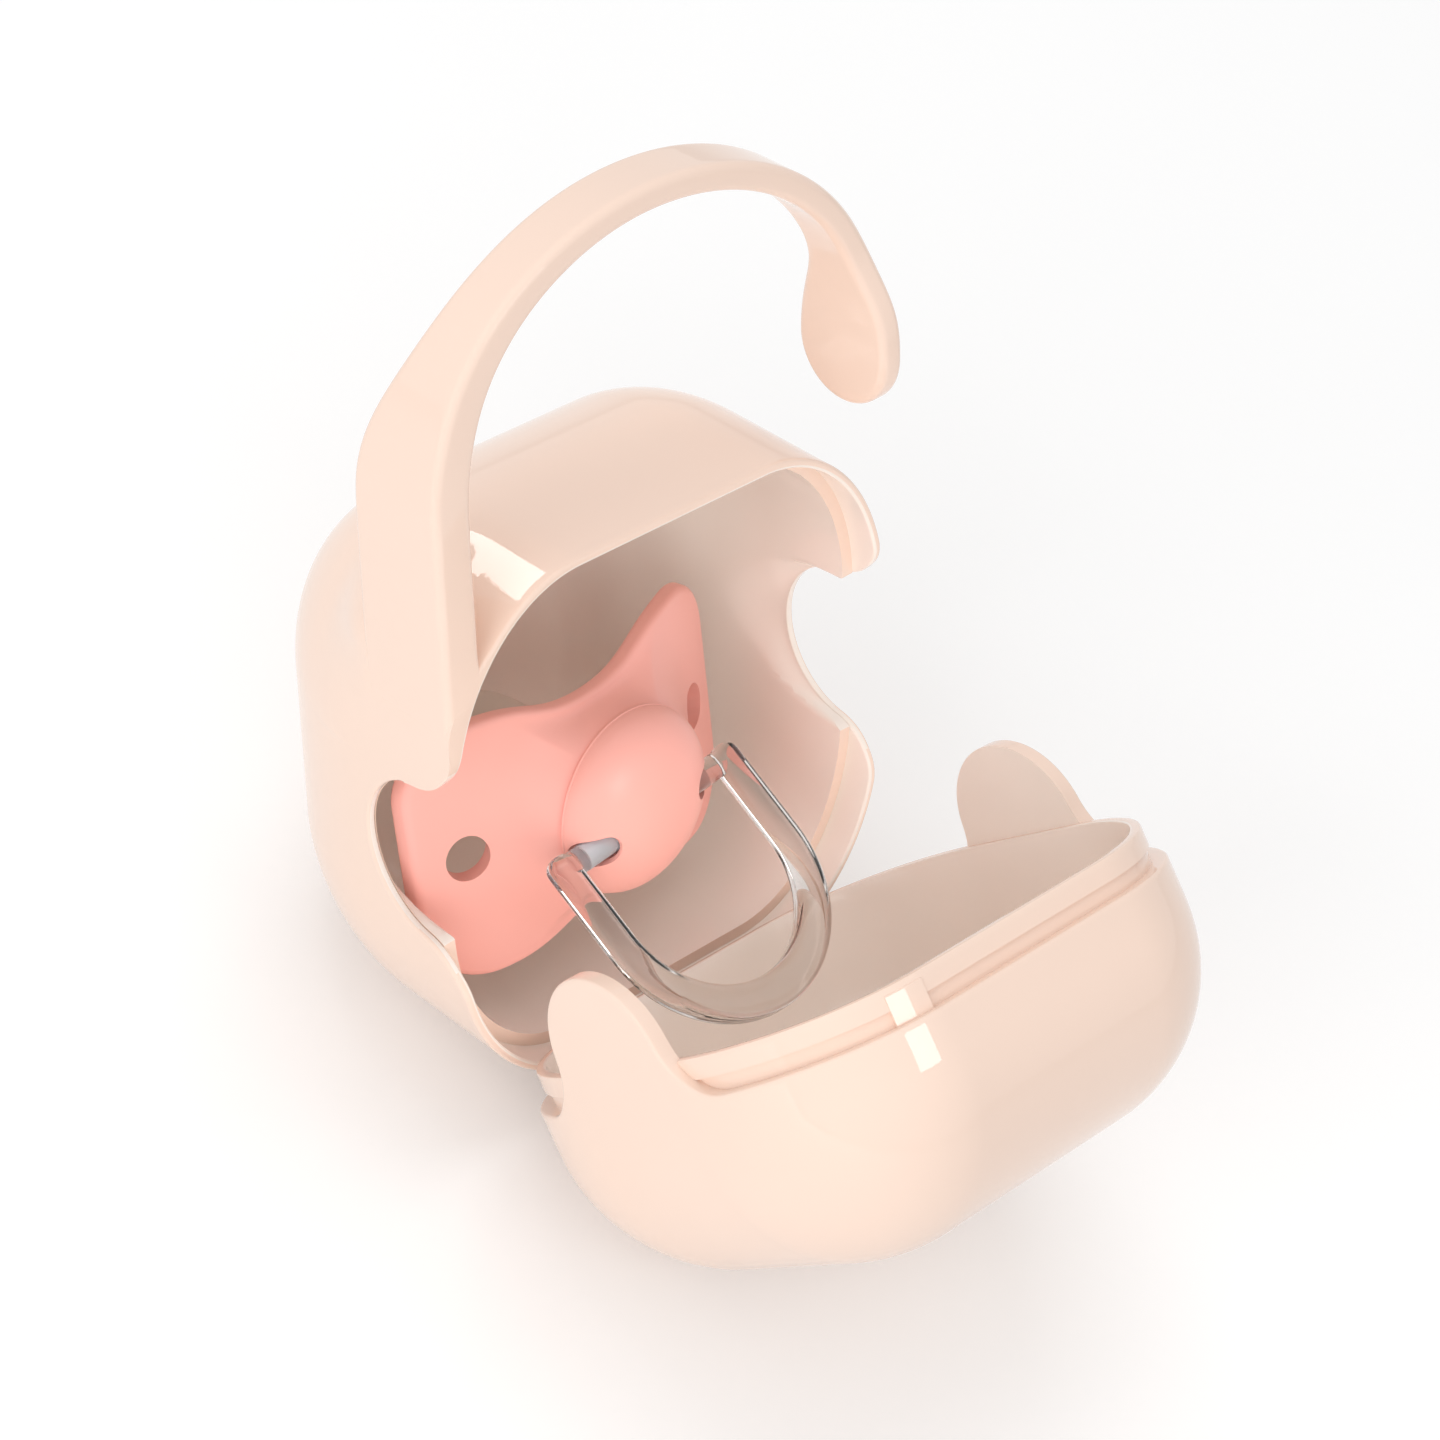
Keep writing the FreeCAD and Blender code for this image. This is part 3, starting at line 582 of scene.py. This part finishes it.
def ease(z, z0, z1, y0, y1):
    """The S-shaped side outline used for the hook's width, upright at both ends."""
    middle = (z0 + z1) / 2
    curve = bezier([(z0, y0), (middle, y0), (middle, y1), (z1, y1)], EASE_STEPS)
    return np.interp(z, curve[:, 0], curve[:, 1])


def inset_loop(loop, distance):
    """A closed loop of points moved inwards; the loop runs anticlockwise."""
    along = np.roll(loop, -1, 0) - np.roll(loop, 1, 0)
    along /= np.linalg.norm(along, axis=1, keepdims=True)
    return loop + np.stack([-along[:, 1], along[:, 0]], 1) * np.reshape(distance, (-1, 1))


def hook_lines():
    """The lines of the ribbon's outer and inner faces, as (x, z) points from the root to the paddle."""
    leg = np.linspace(ROOT_LOW, ARCH_Z, LEG_STEPS)[:-1]
    rising = np.linspace(math.pi, math.pi / 2, ARC_STEPS)[:-1]
    falling = np.linspace(math.pi / 2, 0, ARC_STEPS)[:-1]
    drop = np.linspace(ARCH_Z, ARCH_Z - PADDLE_LEG, PADDLE_STEPS)

    def line(left, right, height):
        return np.vstack([np.stack([leg * 0 - left, leg], 1),
                          np.stack([left * np.cos(rising), ARCH_Z + height * np.sin(rising)], 1),
                          np.stack([right * np.cos(falling), ARCH_Z + height * np.sin(falling)], 1),
                          np.stack([drop * 0 + right, drop], 1)])

    outer = line(CASE_W / 2, CASE_W / 2, ARCH_HEIGHT)
    inner = line(CASE_W / 2 - ROOT_THICK, CASE_W / 2 - HOOK_THICK, ARCH_HEIGHT - HOOK_THICK)
    # At the foot the inner face stays within the rim's thickness.
    outer[:, 0] += ROOT_SINK * fade(outer[:, 1], SWELL_Z) * (outer[:, 0] < 0)
    foot = (inner[:, 1] < CASE_H / 2) & (inner[:, 0] < 0)
    wall_x = CORE_X + ROUND_X * np.sqrt(np.clip(1 - ((inner[:, 1] - CORE_Z) / ROUND_Z) ** 2, 0, 1))
    inner[foot, 0] = np.minimum(inner[foot, 0], ROOT_DEEP - wall_x[foot])
    return outer, inner


def hook_outline(x, z, s):
    """The ribbon laid flat, as a closed loop of (way along, y) points with the paddle's round end."""
    neck_front, neck_back = HOOK_MID - NECK_W / 2, HOOK_MID + NECK_W / 2
    taper, under = CASE_H / 2 + TAPER_START, HOOK_TOP - HOOK_THICK
    flush = ROOT_BURIED * fade(z, ROOT_MEETS_Z) - ROOT_PROUD
    front_left = np.where(z > taper, ease(z, taper, under, ROOT_FRONT, neck_front), ROOT_FRONT)
    front_left = front_left + (flush - front_left) * fade(z, (ROOT_LEVEL_Z, taper))
    back_left = np.where(z > taper, ease(z, taper, under, ROOT_BACK, neck_back), ROOT_BACK)
    paddle, mid = PADDLE_W / 2, HOOK_MID - PADDLE_FORWARD
    centre, neck_z = ARCH_Z - PADDLE_LEG + paddle, HOOK_TOP - NECK_H
    front_right = np.where(z > centre, ease(z, centre, neck_z, mid - paddle, neck_front), mid - paddle)
    back_right = np.where(z > centre, ease(z, centre, neck_z, mid + paddle, neck_back), mid + paddle)
    on_left = x < 0
    front = np.where(on_left, front_left, front_right)
    back = np.where(on_left, back_left, back_right)
    keep = on_left | (z > centre)
    falling = x > PADDLE_SIDE
    s_centre = np.interp(-centre, -z[falling], s[falling])
    turn = np.linspace(-math.pi / 2, math.pi / 2, PADDLE_STEPS)
    tip = np.stack([s_centre + paddle * np.cos(turn), mid + paddle * np.sin(turn)], 1)
    return np.vstack([np.stack([s[keep], front[keep]], 1), tip, np.stack([s[keep], back[keep]], 1)[::-1]])


def hook():
    """The ribbon as layers through its thickness, each an outline drawn in near the two flat faces."""
    outer, inner = hook_lines()
    x, z = ((outer + inner) / 2).T
    s = way_along((outer + inner) / 2)
    loop = hook_outline(x, z, s)
    n = len(loop)
    thick = np.linalg.norm(outer - inner, axis=1)
    at_root = fade(np.interp(loop[:, 0], s, z), ROOT_EDGE_Z) * (np.interp(loop[:, 0], s, x) < 0)
    edge = HOOK_ROUND + (ROOT_EDGE - HOOK_ROUND) * at_root
    bend = np.linspace(0, math.pi / 2, BEND_STEPS)
    # Each layer: depth below a face, whether that is the inner face, and how far the outline is drawn in
    layers = [(0.0, False, HOOK_ROUND + FACE_INSET)]
    layers += [(HOOK_ROUND * (1 - math.cos(a)), False, HOOK_ROUND * (1 - math.sin(a))) for a in bend]
    layers += [(edge * (1 - math.cos(a)), True, edge * (1 - math.sin(a))) for a in bend[::-1]]
    layers += [(0.0, True, HOOK_ROUND + FACE_INSET)]
    rows = []
    for depth, from_inner, inset in layers:
        q = inset_loop(loop, inset)
        t = np.interp(q[:, 0], s, thick)
        share = (t - depth) / t if from_inner else depth / t
        out_x, out_z, in_x, in_z = (np.interp(q[:, 0], s, line) for line in (*outer.T, *inner.T))
        rows.append(np.stack([out_x + (in_x - out_x) * share, q[:, 1], out_z + (in_z - out_z) * share], 1))
    faces = grid_faces(len(rows), n)
    last = (len(rows) - 1) * n
    # The two flat faces, in strips across the ribbon
    for i in range(n // 2 - 1):
        faces.append((i, i + 1, n - 2 - i, n - 1 - i))
        faces.append((last + i, last + n - 1 - i, last + n - 2 - i, last + i + 1))
    verts = world(np.vstack(rows))
    return mesh_piece("hook_ribbon", verts, faces, "rear", case_mat, SHARP_HOOK)


# Pacifier shield
PACIFIER = np.array([-2.095, 8.939, -6.0])
TILT, YAW = math.radians(6.4), math.radians(7.5)
SHIELD_W, END_H, WAIST_H, CORNER = 45.6, 29.4, 23.6, 7.4
BEND, PLATE, PLATE_ROUND = 50.0, 2.2, 0.7
VENT_X, VENT_W, VENT_H = 17.4, 5.6, 5.2
VENT_REACH, VENT_LEAN, VENT_FLARE = 6.0, 0.6, 0.05
HUB_H, CROWN_W, CROWN_H, FLARE, FLARE_SHARE = 3.2, 20.3, 19.5, 7.5, 0.96
SEAT_R, SEAT_Y, NECK_R = 7.6, -0.4, 4.7
KNOB_W, KNOB_H = 20.8, 20.0
BEAD_R, BEAD_SINK = 0.17, 0.4
CORNER_STEPS, SWEEP_STEPS, SHIELD_STEPS, EDGE_STEPS = 40, 80, 280, 6
VENT_STEPS, BEAD_STEPS, BEAD_ROUND_STEPS = 64, 200, 10
# Shares of the way from the hub's crown to the plate's edge, and on its back from the edge to the neck
FLARE_SHARES = (0, 0.03, 0.07, 0.12, 0.18, 0.25, 0.33, 0.42, 0.52, 0.63, 0.75, 0.88, 1)
BACK_SHARES = (0.25, 0.5, 0.75, 1)


def pacifier(p):
    """The pacifier's own frame in millimetres to the row frame in metres."""
    q = turn_x(np.asarray(p, float), -TILT)
    c, s = math.cos(YAW), math.sin(YAW)
    q = np.stack([q[..., 0] * c - q[..., 1] * s, q[..., 0] * s + q[..., 1] * c, q[..., 2]], -1)
    return world(q + PACIFIER)


def bow_tie():
    """The shield's outline as evenly spaced (x, z) points, anticlockwise from the right end."""
    end, top, waist, reach = SHIELD_W / 2, END_H / 2, WAIST_H / 2, SHIELD_W / 2 - CORNER
    a = np.linspace(0, math.pi / 2, CORNER_STEPS)
    corner = np.stack([reach + CORNER * np.cos(a), top - CORNER + CORNER * np.sin(a)], 1)
    sweep = bezier([(reach, top), (reach / 2, top), (reach / 2, waist), (0, waist)], SWEEP_STEPS)
    quarter = np.vstack([[(end, 0)], corner, sweep[1:]])
    half = np.vstack([quarter, (quarter * [-1, 1])[::-1][1:]])
    loop = np.vstack([half, (half * [1, -1])[::-1][1:]])
    run = way_along(loop)
    place = np.linspace(0, run[-1], SHIELD_STEPS, endpoint=False)
    return np.stack([np.interp(place, run, loop[:, 0]), np.interp(place, run, loop[:, 1])], 1)


def shield():
    """A closed loft of rings: flared hub, bent plate with a rounded edge, back, and the stepped seat."""
    edge = bow_tie()
    inner = inset_loop(edge, PLATE_ROUND)
    aim = np.arctan2(edge[:, 1], edge[:, 0])
    round_way = np.stack([np.cos(aim), np.sin(aim)], 1)
    crown = round_way / np.hypot(np.cos(aim) / (CROWN_W / 2), np.sin(aim) / (CROWN_H / 2))[:, None]
    span = np.linalg.norm(inner - crown, axis=1)
    rise = np.minimum(FLARE, FLARE_SHARE * span)
    rows = []

    def front_y(q):
        return BEND - np.sqrt(BEND ** 2 - q[:, 0] ** 2)

    def back_y(q):
        return BEND - np.sqrt((BEND - PLATE) ** 2 - q[:, 0] ** 2)

    def ring(q, y):
        rows.append(np.stack([q[:, 0], np.broadcast_to(y, SHIELD_STEPS), q[:, 1]], 1))

    for t in FLARE_SHARES:
        q = crown + (inner - crown) * t
        fall = 1 - np.minimum(1, t * span / rise)
        ring(q, front_y(q) - (HUB_H + front_y(crown)) * fall ** 2)
    for a in np.linspace(0, math.pi / 2, EDGE_STEPS)[1:]:
        q = inset_loop(edge, PLATE_ROUND * (1 - math.sin(a)))
        ring(q, front_y(q) + PLATE_ROUND * (1 - math.cos(a)))
    for a in np.linspace(math.pi / 2, 0, EDGE_STEPS):
        q = inset_loop(edge, PLATE_ROUND * (1 - math.sin(a)))
        ring(q, back_y(q) - PLATE_ROUND * (1 - math.cos(a)))
    neck = round_way * NECK_R
    for t in BACK_SHARES:
        q = inner + (neck - inner) * t
        ring(q, back_y(q))
    ring(neck, SEAT_Y)
    ring(round_way * SEAT_R, SEAT_Y)
    ring(round_way * SEAT_R, -HUB_H)
    faces = grid_faces(len(rows), SHIELD_STEPS, joined=True)
    verts = pacifier(np.vstack(rows))
    ob = mesh_piece("shield_plate", verts, faces, "pacifier", pink_mat)
    for side in (-1, 1):
        cut_vent(ob, side * VENT_X)
    return ob


def cut_vent(ob, x):
    """Cuts one oval vent through the plate; it leans with the plate and widens to the back."""
    a = np.linspace(0, 2 * math.pi, VENT_STEPS, endpoint=False)
    plate_y = BEND - math.sqrt(BEND ** 2 - x ** 2)
    loops = []
    for depth in (-VENT_REACH, VENT_REACH):
        wide = 1 + VENT_FLARE * depth
        middle = x - math.copysign(VENT_LEAN, x) * depth
        across, height = middle + wide * VENT_W / 2 * np.cos(a), wide * VENT_H / 2 * np.sin(a)
        loops.append(np.stack([across, a * 0 + plate_y + depth, height], 1))
    mesh = clean_mesh("vent_cutter", pacifier(np.vstack(loops)), capped_faces(2, VENT_STEPS))
    cutter = bpy.data.objects.new("vent_cutter", mesh)
    bpy.context.scene.collection.objects.link(cutter)
    cut = ob.modifiers.new("vent", "BOOLEAN")
    cut.operation, cut.solver, cut.object = "DIFFERENCE", "EXACT", cutter
    bpy.context.view_layer.update()
    done = bpy.data.meshes.new_from_object(ob.evaluated_get(bpy.context.evaluated_depsgraph_get()))
    ob.modifiers.clear()
    ob.data = done
    shade_smooth(done, SHARP)
    bpy.data.objects.remove(cutter)


def knob_rim():
    """The fine raised edge where the knob meets the hub."""
    a = np.linspace(0, 2 * math.pi, BEAD_STEPS, endpoint=False)
    out = np.stack([np.cos(a) / KNOB_W, np.sin(a) / KNOB_H], 1)
    out /= np.linalg.norm(out, axis=1, keepdims=True)
    middle = np.stack([KNOB_W / 2 * np.cos(a), KNOB_H / 2 * np.sin(a)], 1)
    rows = []
    for b in np.linspace(0, 2 * math.pi, BEAD_ROUND_STEPS, endpoint=False):
        q = middle + out * (BEAD_R * (math.cos(b) - BEAD_SINK))
        y = -HUB_H - BEAD_R + BEAD_R * math.sin(b)
        rows.append(np.stack([q[:, 0], a * 0 + y, q[:, 1]], 1))
    faces = grid_faces(BEAD_ROUND_STEPS, BEAD_STEPS, joined=True)
    verts = pacifier(np.vstack(rows))
    return mesh_piece("knob_rim", verts, faces, "pacifier", pink_mat, SHARP_BEAD)


rear = rear_shell()
front = front_shell()
strap = hook()
plate = shield()
rim = knob_rim()
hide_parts("rear_shell")
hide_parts("front_shell")
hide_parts("pacifier_shield")

for node, mat in (("pacifier_knob", pink_mat), ("pacifier_ring", ring_mat),
                  ("pacifier_teat", teat_mat), ("pacifier_plug", plug_mat)):
    me = frame["nodes"][node].data
    me.materials.clear()
    me.materials.append(mat)

# Floor and background: whiter for the rays that show them than for the light they give
FLOOR_SIZE, FLOOR_ROUGH = 6, 0.9
FLOOR_SHADE, FLOOR_GLOW, SKY = (0.78, 0.98), (0.0, 0.055), (0.64, 1.0)
WHITE = (1, 1, 1, 1)


def background_rays(nt):
    """1 for the rays that show the background: the camera's own, and those a mirror or glass sends on."""
    path = nt.nodes.new("ShaderNodeLightPath")
    total = path.outputs["Is Camera Ray"]
    for kind in ("Is Glossy Ray", "Is Transmission Ray"):
        add = nt.nodes.new("ShaderNodeMath")
        add.use_clamp = True
        nt.links.new(total, add.inputs[0])
        nt.links.new(path.outputs[kind], add.inputs[1])
        total = add.outputs[0]
    return total


def floor_white():
    """A matt pale floor, a little whiter where it is seen."""
    m, nt, b = new_material("floor_white")
    b.inputs["Roughness"].default_value = FLOOR_ROUGH
    b.inputs["Specular IOR Level"].default_value = 0.0
    seen = background_rays(nt)
    nt.links.new(map_range(nt, seen, *FLOOR_SHADE).outputs["Result"], b.inputs["Base Color"])
    b.inputs["Emission Color"].default_value = WHITE
    nt.links.new(map_range(nt, seen, *FLOOR_GLOW).outputs["Result"], b.inputs["Emission Strength"])
    return m


bpy.ops.mesh.primitive_plane_add(size=FLOOR_SIZE, location=(0, 0, 0))
floor = bpy.context.object
floor.name = "floor"
floor.data.materials.append(floor_white())

studio = bpy.data.worlds.new("studio")
bpy.context.scene.world = studio
studio.use_nodes = True
sky = studio.node_tree
sky.nodes["Background"].inputs["Color"].default_value = WHITE
level = map_range(sky, background_rays(sky), *SKY)
sky.links.new(level.outputs["Result"], sky.nodes["Background"].inputs["Strength"])


# Lamps, in metres and watts
def softbox(name, place, aim, size, power, mirrored=True):
    """A soft rectangular lamp; one that isn't mirrored leaves no highlight."""
    data = bpy.data.lights.new(name, "AREA")
    data.shape = "RECTANGLE"
    data.size, data.size_y = size
    data.energy = power
    ob = bpy.data.objects.new(name, data)
    ob.location = place
    ob.rotation_mode = "QUATERNION"
    ob.rotation_quaternion = (Vector(aim) - Vector(place)).to_track_quat("-Z", "Y")
    ob.visible_glossy = mirrored
    ob.visible_camera = False
    bpy.context.scene.collection.objects.link(ob)
    return ob


def light_only(light, name, pieces):
    """Keeps a lamp's light to the named pieces."""
    group = bpy.data.collections.new(name)
    for piece in pieces:
        group.objects.link(piece)
    light.light_linking.receiver_collection = group


knob = frame["nodes"]["pacifier_knob"]
softbox("side", place=(-0.68, -0.1, 0.3), aim=(0, 0, 0.04), size=(0.5, 0.5), power=1.75, mirrored=False)
softbox("front", place=(-0.34, -0.39, 0.29), aim=(0, 0, 0.035), size=(0.3, 0.3), power=0.5, mirrored=False)
softbox("top", place=(0.16, 0.26, 0.72), aim=(0, 0, 0.03), size=(0.5, 0.5), power=1.38, mirrored=False)
fill = softbox("inside", place=(-0.002, -0.03, 0.026), aim=(-0.003, 0.015, 0.031),
               size=(0.05, 0.04), power=0.012, mirrored=False)
light_only(fill, "inside_lit", (rear, strap, plate, rim, knob))
# Lamps that are there for their highlights
spark = softbox("spark", place=(0.0575, -0.25, 0.187), aim=(-0.004, 0.0, 0.033),
                size=(0.035, 0.035), power=0.13)
spark.visible_diffuse = False
light_only(spark, "spark_lit", (knob,))
softbox("strip_front", place=(0.0, -0.36, 0.358), aim=(-0.016, -0.036, 0.053),
        size=(0.16, 0.025), power=0.075)
window = softbox("strip_back", place=(-0.036, 0.4, 0.29), aim=(-0.02, 0.005, 0.06),
                 size=(0.19, 0.03), power=0.12)
light_only(window, "strip_back_lit", (rear,))

# Camera at the photograph's viewing angle, in the case frame. It was fitted to a case 68 mm wide.
AZIMUTH, ELEVATION, ROLL = math.radians(42.306), math.radians(34.884), math.radians(-0.299)
FITTED_W = 68.0
AWAY, RIGHTWARD, UPWARD, RAISED = 459.362, 4.951, 5.238, 0.94
FOCAL_PIXELS, PHOTO_PIXELS, SENSOR = 3874.85, 1440.0, 36.0
NEAR, FAR = 0.01, 10

right = np.array([math.cos(AZIMUTH), -math.sin(AZIMUTH), 0])
up = np.array([math.sin(AZIMUTH) * math.sin(ELEVATION),
               math.cos(AZIMUTH) * math.sin(ELEVATION),
               math.cos(ELEVATION)])
back = np.array([-math.sin(AZIMUTH) * math.cos(ELEVATION),
                 -math.cos(AZIMUTH) * math.cos(ELEVATION),
                 math.sin(ELEVATION)])
spot = (AWAY * back + RIGHTWARD * right + UPWARD * up + np.array([0, 0, RAISED])) * CASE_W / FITTED_W
camera = bpy.data.cameras.new("camera")
camera.lens = SENSOR * FOCAL_PIXELS / PHOTO_PIXELS
camera.sensor_width = SENSOR
camera.sensor_fit = "AUTO"
camera.clip_start, camera.clip_end = NEAR, FAR
cam = bpy.data.objects.new("camera", camera)
bpy.context.scene.collection.objects.link(cam)
basis = Matrix((world_dir(right), world_dir(up), world_dir(back))).transposed().to_4x4()
cam.matrix_world = Matrix.Translation(Vector(world(spot))) @ basis @ Matrix.Rotation(ROLL, 4, "Z")
bpy.context.scene.camera = cam
bpy.context.scene.view_settings.view_transform = "Standard"

bpy.context.view_layer.update()
